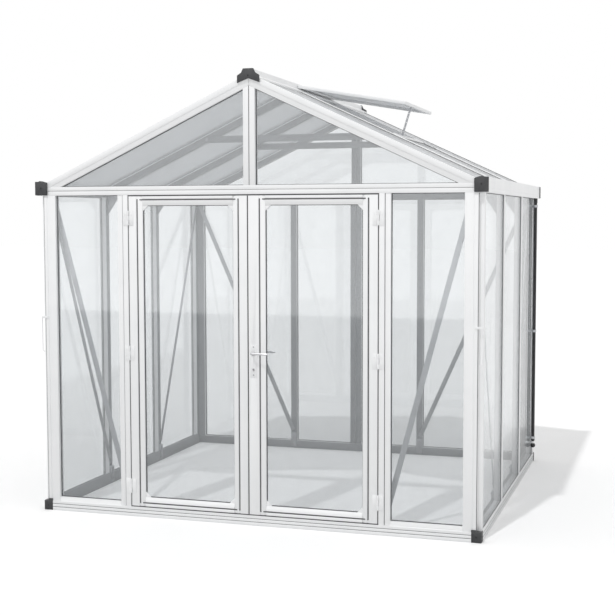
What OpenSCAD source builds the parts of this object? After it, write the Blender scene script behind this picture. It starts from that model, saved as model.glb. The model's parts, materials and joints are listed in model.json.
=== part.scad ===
/* [Overall size] */
// Width of the front and back frames over their corner posts
front_w = 2440; // [2000:10:3200]
// Length of one bay of the side walls and roof
bay = 740; // [600:5:950]
// Height of the underside of the headers and gutters above the ground
header_z = 1780; // [1450:5:2200]
// Roof pitch in degrees
pitch = 25; // [18:0.5:32]

/* [Wall frame] */
// Height of the base rails
base_h = 54; // [40:1:80]
// Depth of the wall profiles, front to back
frame_t = 45; // [36:1:60]
// Height of the front and back headers
header_h = 48; // [36:1:80]
// Distance that the side walls stand out past the front frame
side_step = 25; // [10:1:45]
// Distance that the side walls start behind the front face
side_set = 30; // [15:1:36]
// Width of the corner post on the front face
corner_w = 70; // [50:1:90]
// Length of the corner post on the side face, behind the front face
corner_d = 72; // [60:1:120]
// Width of a door post
door_post_w = 62; // [45:1:80]
// Width of the plain band of a door post
post_band_w = 30; // [20:1:36]
// Width of a side post and of a roof bar
bar_w = 40; // [30:1:60]
// Width of a back post
back_post_w = 44; // [30:1:60]
// Distance from the middle of the back wall to a back post
back_post_x = 460; // [350:5:560]
// Width of one half of the back mullion
back_mullion_w = 38; // [25:1:50]
// Width of one half of the mullion in the gables
mullion_w = 31; // [20:1:40]
// Gap between the halves of a mullion
mullion_gap = 4; // [2:0.5:8]
// Height of the glazing strip under the front panes
glazing_strip = 24; // [12:1:40]
// Thickness of the wall panes
pane_t = 6; // [4:0.5:12]
// Depth of the front and back panes behind the face of their frame
pane_set = 20; // [12:1:26]
// Depth of the side panes behind the face of the side posts
side_pane_set = 7; // [5:1:26]

/* [Roof] */
// Depth of the rafters and roof bars, square to the slope
rafter_d = 58; // [45:1:80]
// Depth of the outer band of a gable rafter
rafter_band = 30; // [18:1:36]
// Thickness of the roof panels
roof_pane_t = 10; // [6:0.5:16]
// Depth of the roof panels below the roof plane
roof_pane_set = 4; // [2:0.5:8]
// Height of the capping on the roof bars above the roof plane
bar_cap = 4; // [2:0.5:8]
// Height of the roof plane over the header at the front corner
eave_rise = 16; // [8:1:40]
// Half of the width of the ridge beam's web
ridge_web = 22; // [15:1:26]
// Half of the width of the ridge beam's raised top
ridge_top_w = 29; // [27:0.5:40]
// Height of the ridge beam's top above the roof plane's peak
ridge_top_h = 21; // [12:1:30]
// Half of the width of the ridge beam over its wings
ridge_wing = 62; // [50:1:80]
// Height of the gutters
gutter_h = 78; // [50:1:110]
// Distance that the gutters stand out past the side walls
gutter_out = 19; // [14:1:60]
// Thickness of the gutter walls
gutter_t = 4; // [2:0.5:8]
// Width of the eave beam that carries the gutter
eave_beam_w = 36; // [30:1:44]
// Distance of the collar ties' lower edge below the peak of the roof plane
tie_drop = 313; // [240:1:420]
// Depth of the collar ties
tie_h = 40; // [25:1:60]
// Thickness of the collar ties and of the flat braces
flat_t = 4; // [3:0.5:8]

/* [Doors] */
// Width of the door opening between the door posts
opening_w = 1415; // [1100:5:1500]
// Clearance at the hinge side, the foot and the meeting stiles of a leaf
door_gap = 6; // [5:0.5:10]
// Distance of the leaves' meeting line left of the middle
meet_x = 10; // [0:1:30]
// Thickness of a leaf
leaf_t = 32; // [26:1:42]
// Width of the plain band of a stile
stile_band = 45; // [30:1:60]
// Width of the plain band of the right leaf's meeting stile
lock_band = 58; // [45:1:70]
// Height of the plain band of the top rail
top_band = 14; // [10:1:60]
// Height of the plain band of the bottom rail
foot_band = 14; // [10:1:80]
// Width of the glazing bead
bead_w = 26; // [16:1:40]
// Leg of the dark corner gussets in a door pane
door_gusset = 30; // [15:1:60]
// Height of a hinge
hinge_h = 80; // [60:1:120]
// Radius of a hinge knuckle, which is also how far its axis stands out
knuckle_r = 6; // [5:0.5:9]
// Radius of a hinge pin
pin_r = 3; // [2:0.25:4]
// Height of the lever above the ground
lever_z = 935; // [800:5:1200]
// Distance from the meeting edge of the right leaf to the lever's spindle
backset = 26; // [18:1:40]
// Length of the lever's arms
lever_len = 92; // [60:1:130]
// Distance that the levers stand out from the faces of the leaf
lever_reach = 43; // [30:1:60]

/* [Vent] */
// Opening angle of the roof vent, in degrees
vent_open = 15; // [2:0.5:25]
// Length of the vent down the slope
vent_len = 655; // [400:5:800]
// Height of the vent's frame
vent_t = 18; // [12:1:30]
// Width of the vent frame's bars
vent_bar = 28; // [18:1:45]
// Distance of the opening's sill from the ridge, measured level
sill_x = 600; // [350:5:760]
// Width of the sill
sill_w = 32; // [20:1:50]
// Distance of the stay behind the front of its bay
stay_y = 210; // [60:5:540]

/* [Details] */
// Thickness of the plastic end caps
cap_t = 10; // [5:1:20]
// Distance that the end caps stand out past the gutters
cap_lip = 6; // [2:1:12]
// Leg of the eave gussets down the posts
gusset_h = 110; // [60:5:160]
// Reach of the eave gussets along the roof bars
gusset_x = 100; // [50:5:150]
// Width of the flat braces
brace_w = 30; // [20:1:45]
// Radius of the downpipe
pipe_r = 12; // [8:0.5:14]
// Height of the lower end of the downpipe
pipe_foot = 150; // [110:5:400]
// Radius of the ball outlet under the downpipe
outlet_r = 16; // [13:0.5:18]
// Height of the hooks that hold the open doors
hook_z = 1100; // [900:10:1400]
// Drop of the hooks' rods
hook_drop = 185; // [60:5:260]

/* [Hidden] */
$fn = 48;

// Colours of the finishes
metal = [0.93, 0.93, 0.94];
shaded_metal = [0.80, 0.81, 0.83];
plastic = [0.27, 0.27, 0.28];
black = [0.13, 0.13, 0.14];
clear = [0.82, 0.87, 0.90, 0.35];
opal = [0.88, 0.89, 0.90, 0.75];

// Plan
half_w = front_w/2;
side_x = half_w + side_step;
side_in = side_x - frame_t;
length = 3*bay;
bar_ys = [bay, 2*bay];
gutter_x = side_x + gutter_out;
cap_x = gutter_x + cap_lip;
pane_x = side_x - side_pane_set;
panel_over = 5;
panel_x = side_x + panel_over;
spindle_r = 7;
lever_out = lever_reach + spindle_r;

// The origin is on the ground, below the middle of the whole object
y_front = (lever_out - cap_t - length)/2;

// Heights
header_top = header_z + header_h;
ridge_z = header_top + eave_rise + half_w*tan(pitch);
gutter_top = header_z + gutter_h;
strip_z = base_h + glazing_strip;
tie_z = ridge_z - tie_drop;
inner_flange = 16;
groove = 3;
split_h = 2;
seat_clear = 0.1;

// Base corners reach this far from the outer faces, past the depth of the rails
corner_block = frame_t + 7;
corner_stub_w = 25;
corner_stub_h = 12;
base_lip = 3;
flange_t = 8;
base_in = side_in - flange_t;

// Lines along the corner posts, from their outer edges
corner_line = 23;
side_line = 32;

// Eave caps and the hood on top of them
cap_inset = 3;
cap_lift = 2;
cap_shoulder = 6;
hood_x0 = 22;
hood_x1 = 27;
hood_x2 = 48;
hood_h = 4;

// Ridge capping, its end caps and the peak
wing_n = 6;
peak_cap_rise = 4;
peak_cap_out = 10;
peak_cap_drop = 22;
peak_wing_drop = 36;
peak_skirt_n = 19;
peak_notch_n = 24;
peak_gap = 0.5;

// Ties, gussets, brackets and braces
tie_over = 15;
gusset_tip = 20;
bracket_t = 5;
bracket_half = 18;
bracket_z0 = 10;
bracket_z1 = base_h + inner_flange + 40;
brace_top = header_z - 45;
brace_foot = base_h + inner_flange + 60;
brace_at_door = 40;
brace_at_corner = 46;
brace_at_back = 5;
brace_at_side = 8;

// Doors
opening_x = opening_w/2;
leaf_x = opening_x - door_gap;
meet_gap = door_gap + 1;
top_gap = door_gap + 1;
meet_left = -meet_x - meet_gap/2;
meet_right = -meet_x + meet_gap/2;
leaf_z0 = base_h + door_gap;
leaf_z1 = header_z - top_gap;
bead_groove = 10;
bead_flare = 1.5;
bead_groove_d = 4;
bead_face = 0.5;
bead_edge = 7;
frame_over = bead_groove + bead_w;
hinge_x = opening_x - door_gap/2;
hinge_low = 172;
hinge_high = header_z - 125;
hinge_zs = [hinge_low, (hinge_low + hinge_high)/2, hinge_high];
pin_clear = 0.1;
knuckle_split = 0.5;
plate_t = 3;
plate_w = 24;
knuckle_clear = 1.5;
spindle_x = meet_right + backset;
spindle_clear = 0.5;
bore_clear = 3;
lever_r = 5.5;
lock_plate_w = 36;
lock_plate_x = spindle_x + 2;
lock_plate_z0 = lever_z - 130;
lock_plate_z1 = lever_z + 45;
pane_z0 = leaf_z0 + foot_band + frame_over;
pane_z1 = leaf_z1 - top_band - frame_over;
leaf_pane_y = 16;
leaf_gusset_y = bead_edge + 3;
left_in = [-leaf_x + stile_band + frame_over, meet_left - stile_band - frame_over];
right_in = [meet_right + lock_band + frame_over, leaf_x - stile_band - frame_over];

// Vent
vent_tilt = pitch - vent_open;
vent_gap = 6;
vent_y0 = bay + vent_gap;
vent_y1 = 2*bay - vent_gap;
vent_seat = 9;
vent_pane_t = 6;
vent_pane_set = 2;
sill_rise = 6;
stay_w = 12;
stay_over = 12;
stay_foot = sill_x + 10;

// Downpipe
pipe_x = side_x + 9;
pipe_y = length - corner_d - 48;
pipe_wall = 1.5;
pipe_plug = 10;
clip_t = 2.5;
clip_h = 16;
clip_reach = 20;
clip_zs = [pipe_foot + 20, header_z/2, header_z - 60];
outlet_z = pipe_foot - outlet_r - 8;
outlet_trim = 12;
neck_r = pipe_r - 2;
spout_r = pipe_r - 3;
spout_out = 14;

// Hooks
rod_r = 3;
rod_x = side_x - 4;
hook_in = 14;
hook_half = 6;
hook_knob_r = 3.6;
hook_tip_r = 2.6;
hook_tip = 16;
hook_turn = 130;

// Height of the roof at a distance x from the ridge, n above the roof plane square to it
function roof_z(x, n = 0) = ridge_z - x*tan(pitch) + n/cos(pitch);

// Distance from the ridge at which the roof plane, lowered by n, comes down to height z
function roof_x(z, n = 0) = (ridge_z + n/cos(pitch) - z)/tan(pitch);

// Four corners of a slice of roof from x0 to x1, between n0 and n1 above the roof plane
function slope_band(x0, x1, n0, n1) = [
    [x0, roof_z(x0, n0)],
    [x0, roof_z(x0, n1)],
    [x1, roof_z(x1, n1)],
    [x1, roof_z(x1, n0)],
];

// Outline of a door stile or rail: the distance in from the leaf's edge, then the depth
function leaf_outline(band) = [
    [0, 0],
    [band, 0],
    [band + bead_flare, bead_groove_d],
    [band + bead_groove - bead_flare, bead_groove_d],
    [band + bead_groove, bead_face],
    [band + frame_over, bead_edge],
    [band + frame_over, leaf_t],
    [0, leaf_t],
];

// Moves a piece, drawn with its front face at y = 0, to its place around the origin
module placed() {
    translate([0, y_front, 0]) children();
}

// A block between two values on each axis
module block(x, y, z) {
    translate([x[0], y[0], z[0]]) cube([x[1] - x[0], y[1] - y[0], z[1] - z[0]]);
}

// Extrudes an outline of x and z along y
module along_y(y0, y1) {
    translate([0, y1, 0]) rotate([90, 0, 0]) linear_extrude(y1 - y0) children();
}

// Extrudes an outline of y and z along x
module along_x(x0, x1) {
    translate([x0, 0, 0]) rotate([90, 0, 90]) linear_extrude(x1 - x0) children();
}

module left_and_right() {
    children();
    mirror([1, 0, 0]) children();
}

module front_and_back() {
    children();
    translate([0, length, 0]) mirror([0, 1, 0]) children();
}

// A flat brace in the x-z plane between two points, its faces at y0 and y0 + flat_t
module flat_brace(from, to, y0) {
    run = to - from;
    translate([from[0], y0, from[1]])
        rotate([0, -atan2(run[1], run[0]), 0])
            block([0, norm(run)], [0, flat_t], [-brace_w/2, brace_w/2]);
}

// Base frame

module end_rail() {
    difference() {
        block([-side_x - base_lip + corner_block, side_x + base_lip - corner_block],
              [-base_lip, frame_t], [0, base_h]);
        for (k = [1, 2])
            block([-side_x, side_x], [-base_lip - 1, groove - base_lip], [k*base_h/3, k*base_h/3 + groove]);
    }
}

module side_rail() {
    difference() {
        union() {
            block([base_in, side_x + base_lip], [corner_block - base_lip, length - corner_block + base_lip],
                  [0, base_h]);
            block([base_in, side_in], [corner_d, length - corner_d], [base_h, base_h + inner_flange]);
        }
        for (k = [1, 2])
            block([side_x + base_lip - groove, side_x + base_lip + 1], [0, length],
                  [k*base_h/3, k*base_h/3 + groove]);
    }
}

module base_rails() placed() color(metal) {
    front_and_back() end_rail();
    left_and_right() side_rail();
    left_and_right()
        block([opening_x + door_post_w, half_w - corner_w], [groove, frame_t - groove], [base_h, strip_z]);
}

module base_corner() {
    block([side_x + base_lip - corner_block, side_x + base_lip], [-base_lip, corner_block - base_lip],
          [0, base_h]);
    block([half_w - corner_stub_w, half_w], [-base_lip, 0], [base_h, base_h + corner_stub_h]);
}

module base_corners() placed() color(plastic)
    front_and_back() left_and_right() base_corner();

// Posts

module corner_outline() {
    difference() {
        polygon([
            [half_w - corner_w, 0],
            [half_w, 0],
            [half_w, side_set],
            [side_x, side_set],
            [side_x, corner_d],
            [side_in, corner_d],
            [side_in, frame_t],
            [half_w - corner_w, frame_t],
        ]);
        translate([half_w - corner_line, -1]) square([2*groove, groove + 1]);
        translate([side_x - groove, side_set + side_line]) square([groove + 1, groove]);
    }
}

module corner_posts() placed() color(metal)
    front_and_back() left_and_right()
        translate([0, 0, base_h]) linear_extrude(header_z - base_h) corner_outline();

module door_post_outline() {
    polygon([
        [opening_x, 0],
        [opening_x + post_band_w, 0],
        [opening_x + post_band_w, 2*groove],
        [opening_x + post_band_w + groove, 2*groove],
        [opening_x + post_band_w + groove, groove],
        [opening_x + door_post_w, groove],
        [opening_x + door_post_w, frame_t],
        [opening_x, frame_t],
    ]);
}

module door_posts() placed() color(metal)
    left_and_right()
        translate([0, 0, base_h]) linear_extrude(header_z - base_h) door_post_outline();

module side_posts() placed() color(metal)
    left_and_right()
        for (y = bar_ys)
            difference() {
                block([side_in, side_x], [y - bar_w/2, y + bar_w/2], [base_h, header_z]);
                block([side_x - groove, side_x + 1], [y - groove/2, y + groove/2], [0, header_z + 1]);
            }

module back_posts() placed() color(metal)
    left_and_right() {
        block([back_post_x - back_post_w/2, back_post_x + back_post_w/2], [length - frame_t, length],
              [base_h, header_z]);
        block([mullion_gap/2, mullion_gap/2 + back_mullion_w], [length - frame_t, length],
              [base_h, header_z]);
    }

// Headers and gutters

module headers() placed() color(metal)
    front_and_back()
        difference() {
            block([-side_in, side_in], [0, frame_t], [header_z, header_top]);
            block([-side_in - 1, side_in + 1], [-1, groove],
                  [header_z + header_h/2, header_z + header_h/2 + split_h]);
        }

module gutter_outline() {
    beam_x = side_in + eave_beam_w;
    seat = -roof_pane_set - roof_pane_t - seat_clear;
    polygon([
        [side_in, header_z],
        [gutter_x, header_z],
        [gutter_x, gutter_top],
        [gutter_x - gutter_t, gutter_top],
        [gutter_x - gutter_t, header_z + gutter_t],
        [beam_x, header_z + gutter_t],
        [beam_x, roof_z(beam_x, seat)],
        [side_in, roof_z(side_in, seat)],
    ]);
}

module gutters() placed() color(metal)
    left_and_right()
        difference() {
            along_y(0, length) gutter_outline();
            block([gutter_x - 1, gutter_x + 1], [-1, length + 1],
                  [header_z + gutter_h/4, header_z + gutter_h/4 + split_h]);
        }

module eave_cap_outline() {
    polygon([
        [side_in - cap_inset, header_z + cap_lift],
        [cap_x, header_z + cap_lift],
        [cap_x, gutter_top],
        [cap_x - hood_x0, gutter_top],
        [cap_x - hood_x1, gutter_top + hood_h],
        [cap_x - hood_x2, gutter_top + cap_lift],
        [side_in - cap_inset, gutter_top - cap_shoulder],
    ]);
}

module eave_caps() placed() color(plastic)
    front_and_back() left_and_right()
        along_y(-cap_t, 0) eave_cap_outline();

// Roof frame

module ridge_capping(n_under) {
    top_z = ridge_z + ridge_top_h;
    polygon([
        [-ridge_top_w, top_z],
        [ridge_top_w, top_z],
        [ridge_top_w, roof_z(ridge_top_w, wing_n)],
        [ridge_wing, roof_z(ridge_wing, wing_n)],
        [ridge_wing, roof_z(ridge_wing, n_under)],
        [0, roof_z(0, n_under)],
        [-ridge_wing, roof_z(ridge_wing, n_under)],
        [-ridge_wing, roof_z(ridge_wing, wing_n)],
        [-ridge_top_w, roof_z(ridge_top_w, wing_n)],
    ]);
}

module ridge_beam() placed() color(metal) {
    along_y(0, length) ridge_capping(0);
    along_y(frame_t, length - frame_t) {
        ridge_capping(-roof_pane_set + seat_clear);
        polygon([
            [-ridge_web, roof_z(ridge_web, -rafter_d)],
            [ridge_web, roof_z(ridge_web, -rafter_d)],
            [ridge_web, roof_z(ridge_web, 0)],
            [-ridge_web, roof_z(ridge_web, 0)],
        ]);
    }
}

module ridge_cap_outline() {
    top_z = ridge_z + ridge_top_h + peak_cap_rise;
    polygon([
        [-ridge_top_w, top_z],
        [ridge_top_w, top_z],
        [ridge_top_w + peak_cap_out, top_z - peak_cap_drop],
        [ridge_wing, top_z - peak_wing_drop],
        [ridge_wing, roof_z(ridge_wing, -peak_skirt_n)],
        [0, roof_z(0, -peak_notch_n)],
        [-ridge_wing, roof_z(ridge_wing, -peak_skirt_n)],
        [-ridge_wing, top_z - peak_wing_drop],
        [-ridge_top_w - peak_cap_out, top_z - peak_cap_drop],
    ]);
}

module ridge_caps() placed() color(plastic)
    front_and_back()
        along_y(-cap_t, 0) ridge_cap_outline();

module gable_rafter() {
    intersection() {
        union() {
            along_y(0, frame_t) polygon(slope_band(peak_gap, side_in, -rafter_band, 0));
            along_y(groove, frame_t) polygon(slope_band(peak_gap, side_in, -rafter_d, -rafter_band));
        }
        block([0, side_x], [-1, frame_t + 1], [header_top, ridge_z + 1]);
    }
}

module gable_rafters() placed() color(metal)
    front_and_back() left_and_right() gable_rafter();

module roof_bar(y) {
    seat = -roof_pane_set - roof_pane_t;
    along_y(y - bar_w/2, y + bar_w/2)
        polygon([
            [ridge_web, roof_z(ridge_web, -rafter_d)],
            [ridge_web, roof_z(ridge_web, -roof_pane_set)],
            [ridge_wing, roof_z(ridge_wing, -roof_pane_set)],
            [ridge_wing, roof_z(ridge_wing, bar_cap)],
            [panel_x, roof_z(panel_x, bar_cap)],
            [panel_x, roof_z(panel_x, seat)],
            [side_in, roof_z(side_in, seat)],
            [side_in, roof_z(side_in, -rafter_d)],
        ]);
}

module roof_bars() placed() color(metal)
    left_and_right()
        for (y = bar_ys) roof_bar(y);

module gable_mullions() placed() color(metal)
    front_and_back() left_and_right()
        along_y(0, frame_t)
            polygon([
                [mullion_gap/2, header_top],
                [mullion_gap/2 + mullion_w, header_top],
                [mullion_gap/2 + mullion_w, roof_z(mullion_gap/2 + mullion_w, -rafter_d)],
                [mullion_gap/2, roof_z(mullion_gap/2, -rafter_d)],
            ]);

module collar_ties() placed() color(metal)
    for (y = [bay - bar_w/2 - flat_t, 2*bay + bar_w/2]) {
        reach = roof_x(tie_z, -rafter_d) + tie_over;
        block([-reach, reach], [y, y + flat_t], [tie_z, tie_z + tie_h]);
    }

module eave_gussets() placed() color(shaded_metal)
    left_and_right()
        for (y = bar_ys)
            along_y(y - flat_t/2, y + flat_t/2)
                polygon([
                    [side_in, header_z - gusset_h],
                    [side_in, roof_z(side_in, -rafter_d)],
                    [side_in - gusset_x, roof_z(side_in - gusset_x, -rafter_d)],
                    [side_in - gusset_x, roof_z(side_in - gusset_x, -rafter_d) - gusset_tip],
                ]);

// Feet and braces

module side_bracket(y) {
    across = [y - bracket_half, y + bracket_half];
    block([base_in - bracket_t, base_in], across, [bracket_z0, bracket_z1]);
    block([base_in, side_in], across, [base_h + inner_flange, bracket_z1]);
}

module foot_brackets() placed() color(shaded_metal)
    left_and_right() {
        for (y = bar_ys) side_bracket(y);
        block([back_post_x - bracket_half, back_post_x + bracket_half],
              [length - frame_t - bracket_t, length - frame_t], [bracket_z0, bracket_z1]);
    }

module end_braces() placed() color(shaded_metal)
    left_and_right() {
        flat_brace([opening_x + brace_at_door, brace_foot], [half_w - brace_at_corner, brace_top], frame_t);
        flat_brace([back_post_x + brace_at_back, brace_foot], [half_w - brace_at_corner, brace_top],
                   length - frame_t - flat_t);
    }

module side_braces() placed() color(shaded_metal)
    left_and_right() front_and_back()
        translate([side_in, 0, 0]) rotate([0, 0, 90])
            flat_brace([corner_d - brace_at_side, brace_top], [bay - brace_at_back, brace_foot], 0);

// Panes

module front_panes() placed() color(clear)
    left_and_right()
        block([opening_x + door_post_w, half_w - corner_w], [pane_set, pane_set + pane_t],
              [strip_z, header_z]);

module side_panes() placed() color(clear)
    left_and_right()
        for (y = [[corner_d, bay - bar_w/2],
                  [bay + bar_w/2, 2*bay - bar_w/2],
                  [2*bay + bar_w/2, length - corner_d]])
            block([pane_x - pane_t, pane_x], y, [base_h, header_z]);

module back_panes() placed() color(clear)
    left_and_right()
        for (x = [[mullion_gap/2 + back_mullion_w, back_post_x - back_post_w/2],
                  [back_post_x + back_post_w/2, half_w - corner_w]])
            block(x, [length - pane_set - pane_t, length - pane_set], [base_h, header_z]);

module gable_panes() placed() color(clear)
    front_and_back() left_and_right()
        along_y(pane_set, pane_set + pane_t) {
            inner_x = mullion_gap/2 + mullion_w;
            polygon([
                [inner_x, header_top],
                [roof_x(header_top, -rafter_d), header_top],
                [inner_x, roof_z(inner_x, -rafter_d)],
            ]);
        }

module roof_panel(x0, y0, y1) {
    along_y(y0, y1) polygon(slope_band(x0, panel_x, -roof_pane_set - roof_pane_t, -roof_pane_set));
}

module roof_panes() placed() color(opal) {
    left_and_right() {
        roof_panel(ridge_web, frame_t, bay - bar_w/2);
        roof_panel(ridge_web, 2*bay + bar_w/2, length - frame_t);
    }
    mirror([1, 0, 0]) roof_panel(ridge_web, bay + bar_w/2, 2*bay - bar_w/2);
    roof_panel(sill_x + sill_w, bay + bar_w/2, 2*bay - bar_w/2);
}

// Vent, propped open on the right slope

module vent_place() {
    under_z = roof_z(ridge_top_w, vent_seat);
    translate([ridge_top_w, 0, under_z]) rotate([0, vent_tilt, 0]) children();
}

module vent_sill() placed() color(metal)
    along_y(bay + bar_w/2, 2*bay - bar_w/2)
        polygon(slope_band(sill_x, sill_x + sill_w, -rafter_d, sill_rise));

module vent_frame() placed() color(metal)
    vent_place()
        difference() {
            block([0, vent_len], [vent_y0, vent_y1], [0, vent_t]);
            block([vent_bar, vent_len - vent_bar], [vent_y0 + vent_bar, vent_y1 - vent_bar],
                  [-1, vent_t + 1]);
        }

module vent_pane() placed() color(opal)
    vent_place()
        block([vent_bar, vent_len - vent_bar], [vent_y0 + vent_bar, vent_y1 - vent_bar],
              [vent_t - vent_pane_t - vent_pane_set, vent_t - vent_pane_set]);

module vent_stay() placed() color(shaded_metal) {
    foot = [stay_foot, roof_z(stay_foot, sill_rise)];
    head = [
        ridge_top_w + (vent_len - vent_bar/2)*cos(vent_tilt),
        roof_z(ridge_top_w, vent_seat) - (vent_len - vent_bar/2)*sin(vent_tilt),
    ];
    run = head - foot;
    difference() {
        translate([foot[0], bay + stay_y, foot[1]])
            rotate([0, -atan2(run[1], run[0]), 0])
                block([-stay_over, norm(run) + stay_over], [0, flat_t], [-stay_w/2, stay_w/2]);
        along_y(bay, 2*bay) polygon(slope_band(sill_x - sill_w, sill_x + 2*sill_w, -2*rafter_d, sill_rise));
        vent_place() block([0, vent_len + vent_bar], [vent_y0, vent_y1], [0, 3*vent_t]);
    }
}

// Rainwater goods

module downpipe() placed() color(black)
    translate([pipe_x, pipe_y, 0])
        difference() {
            translate([0, 0, pipe_foot]) cylinder(r = pipe_r, h = header_z - pipe_foot);
            translate([0, 0, pipe_foot + pipe_plug]) cylinder(r = pipe_r - pipe_wall, h = header_z);
        }

module pipe_clips() placed() color(metal)
    for (z = clip_zs)
        difference() {
            union() {
                translate([pipe_x, pipe_y, z]) cylinder(r = pipe_r + clip_t, h = clip_h);
                block([side_x, pipe_x], [pipe_y, length - corner_d + clip_reach], [z, z + clip_h]);
            }
            translate([pipe_x, pipe_y, z - 1]) cylinder(r = pipe_r, h = clip_h + 2);
        }

module pipe_outlet() placed() color(black)
    translate([pipe_x, pipe_y, 0]) {
        intersection() {
            translate([0, 0, outlet_z]) sphere(r = outlet_r);
            translate([-outlet_r, -outlet_r, 0]) cube([2*outlet_r, 2*outlet_r, pipe_foot - outlet_trim]);
        }
        translate([0, 0, outlet_z]) cylinder(r = neck_r, h = pipe_foot - outlet_z);
        translate([0, 0, outlet_z]) rotate([-90, 0, 0]) cylinder(r = spout_r, h = outlet_r + spout_out);
    }

module post_hook() {
    block([half_w - hook_in, rod_x + rod_r], [-2*rod_r, 0], [hook_z - hook_half, hook_z + hook_half]);
    translate([rod_x, -rod_r, hook_z - hook_drop]) cylinder(r = rod_r, h = hook_drop);
    translate([rod_x, -rod_r, hook_z - hook_drop]) {
        sphere(r = hook_knob_r);
        rotate([0, -hook_turn, 0]) cylinder(r = hook_tip_r, h = hook_tip);
    }
}

module post_hooks() placed() color(metal)
    left_and_right() post_hook();

// Hinges: each has its axis in front of the gap between the post and the leaf

module hinge_plate(from, to, z) {
    block([from, to], [-plate_t, 0], z);
}

module fixed_hinge(z0) {
    knuckle = hinge_h/3;
    near = hinge_x + knuckle_r + knuckle_clear;
    far = hinge_x + knuckle_r + plate_w;
    hinge_plate(near, far, [z0, z0 + hinge_h]);
    for (z = [z0, z0 + 2*knuckle + knuckle_split]) {
        hinge_plate(hinge_x, near, [z, z + knuckle - knuckle_split]);
        translate([hinge_x, -knuckle_r, z]) cylinder(r = knuckle_r, h = knuckle - knuckle_split);
    }
    translate([hinge_x, -knuckle_r, z0]) cylinder(r = pin_r, h = hinge_h);
}

module moving_hinge(z0) {
    knuckle = hinge_h/3;
    near = hinge_x - knuckle_r - knuckle_clear;
    far = hinge_x - knuckle_r - plate_w;
    hinge_plate(far, near, [z0, z0 + hinge_h]);
    difference() {
        union() {
            hinge_plate(near, hinge_x, [z0 + knuckle, z0 + 2*knuckle]);
            translate([hinge_x, -knuckle_r, z0 + knuckle]) cylinder(r = knuckle_r, h = knuckle);
        }
        translate([hinge_x, -knuckle_r, z0]) cylinder(r = pin_r + pin_clear, h = hinge_h);
    }
}

module hinge_seats() placed() color(metal)
    left_and_right()
        for (z = hinge_zs) fixed_hinge(z - hinge_h/2);

// Door leaves: the stiles run full height and the rails stand between them

module stile(edge, inward, band) {
    translate([edge, 0, leaf_z0]) scale([inward, 1, 1])
        linear_extrude(leaf_z1 - leaf_z0) polygon(leaf_outline(band));
}

module rail(x0, x1, edge, inward, band) {
    translate([0, 0, edge]) scale([1, 1, inward])
        along_x(x0, x1) polygon([for (p = leaf_outline(band)) [p[1], p[0]]]);
}

module leaf_rails(x0, x1) {
    rail(x0, x1, leaf_z0, 1, foot_band);
    rail(x0, x1, leaf_z1, -1, top_band);
}

module leaf_pane(x0, x1) {
    block([x0, x1], [leaf_pane_y, leaf_pane_y + pane_t], [pane_z0, pane_z1]);
}

module leaf_gussets(x0, x1) {
    for (c = [[x0, pane_z0, 1, 1], [x1, pane_z0, -1, 1], [x0, pane_z1, 1, -1], [x1, pane_z1, -1, -1]])
        along_y(leaf_gusset_y, leaf_pane_y)
            polygon([
                [c[0], c[1]],
                [c[0] + c[2]*door_gusset, c[1]],
                [c[0], c[1] + c[3]*door_gusset],
            ]);
}

module left_stiles() placed() color(metal) {
    stile(-leaf_x, 1, stile_band);
    stile(meet_left, -1, stile_band);
}

module left_rails() placed() color(metal) leaf_rails(left_in[0], left_in[1]);

module left_pane() placed() color(clear) leaf_pane(left_in[0], left_in[1]);

module left_gussets() placed() color(plastic) leaf_gussets(left_in[0], left_in[1]);

module left_hinges() placed() color(metal)
    mirror([1, 0, 0])
        for (z = hinge_zs) moving_hinge(z - hinge_h/2);

module right_stiles() placed() color(metal)
    difference() {
        union() {
            stile(leaf_x, -1, stile_band);
            stile(meet_right, 1, lock_band);
        }
        translate([spindle_x, -1, lever_z]) rotate([-90, 0, 0])
            cylinder(r = spindle_r + bore_clear, h = leaf_t + 2);
    }

module right_rails() placed() color(metal) leaf_rails(right_in[0], right_in[1]);

module right_pane() placed() color(clear) leaf_pane(right_in[0], right_in[1]);

module right_gussets() placed() color(plastic) leaf_gussets(right_in[0], right_in[1]);

module right_hinges() placed() color(metal)
    for (z = hinge_zs) moving_hinge(z - hinge_h/2);

module lock_plates() placed() color(metal)
    for (y = [-plate_t, leaf_t])
        difference() {
            block([lock_plate_x - lock_plate_w/2, lock_plate_x + lock_plate_w/2], [y, y + plate_t],
                  [lock_plate_z0, lock_plate_z1]);
            translate([spindle_x, y - 1, lever_z]) rotate([-90, 0, 0])
                cylinder(r = spindle_r + spindle_clear, h = plate_t + 2);
        }

module door_lever() placed() color(shaded_metal)
    translate([spindle_x, 0, lever_z]) {
        rotate([-90, 0, 0]) translate([0, 0, -lever_reach])
            cylinder(r = spindle_r, h = leaf_t + 2*lever_reach);
        for (y = [-lever_reach, leaf_t + lever_reach])
            translate([0, y, 0]) {
                sphere(r = spindle_r);
                rotate([0, 90, 0]) cylinder(r = lever_r, h = lever_len);
                translate([lever_len, 0, 0]) sphere(r = lever_r);
            }
    }

base_rails();
base_corners();
corner_posts();
door_posts();
side_posts();
back_posts();
headers();
gutters();
eave_caps();
ridge_beam();
ridge_caps();
gable_rafters();
roof_bars();
gable_mullions();
collar_ties();
eave_gussets();
foot_brackets();
end_braces();
side_braces();
front_panes();
side_panes();
back_panes();
gable_panes();
roof_panes();
vent_sill();
vent_frame();
vent_pane();
vent_stay();
downpipe();
pipe_clips();
pipe_outlet();
post_hooks();
hinge_seats();
left_stiles();
left_rails();
left_pane();
left_gussets();
left_hinges();
right_stiles();
right_rails();
right_pane();
right_gussets();
right_hinges();
lock_plates();
door_lever();
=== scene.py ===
import bpy, json, math
from mathutils import Matrix, Vector


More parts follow.
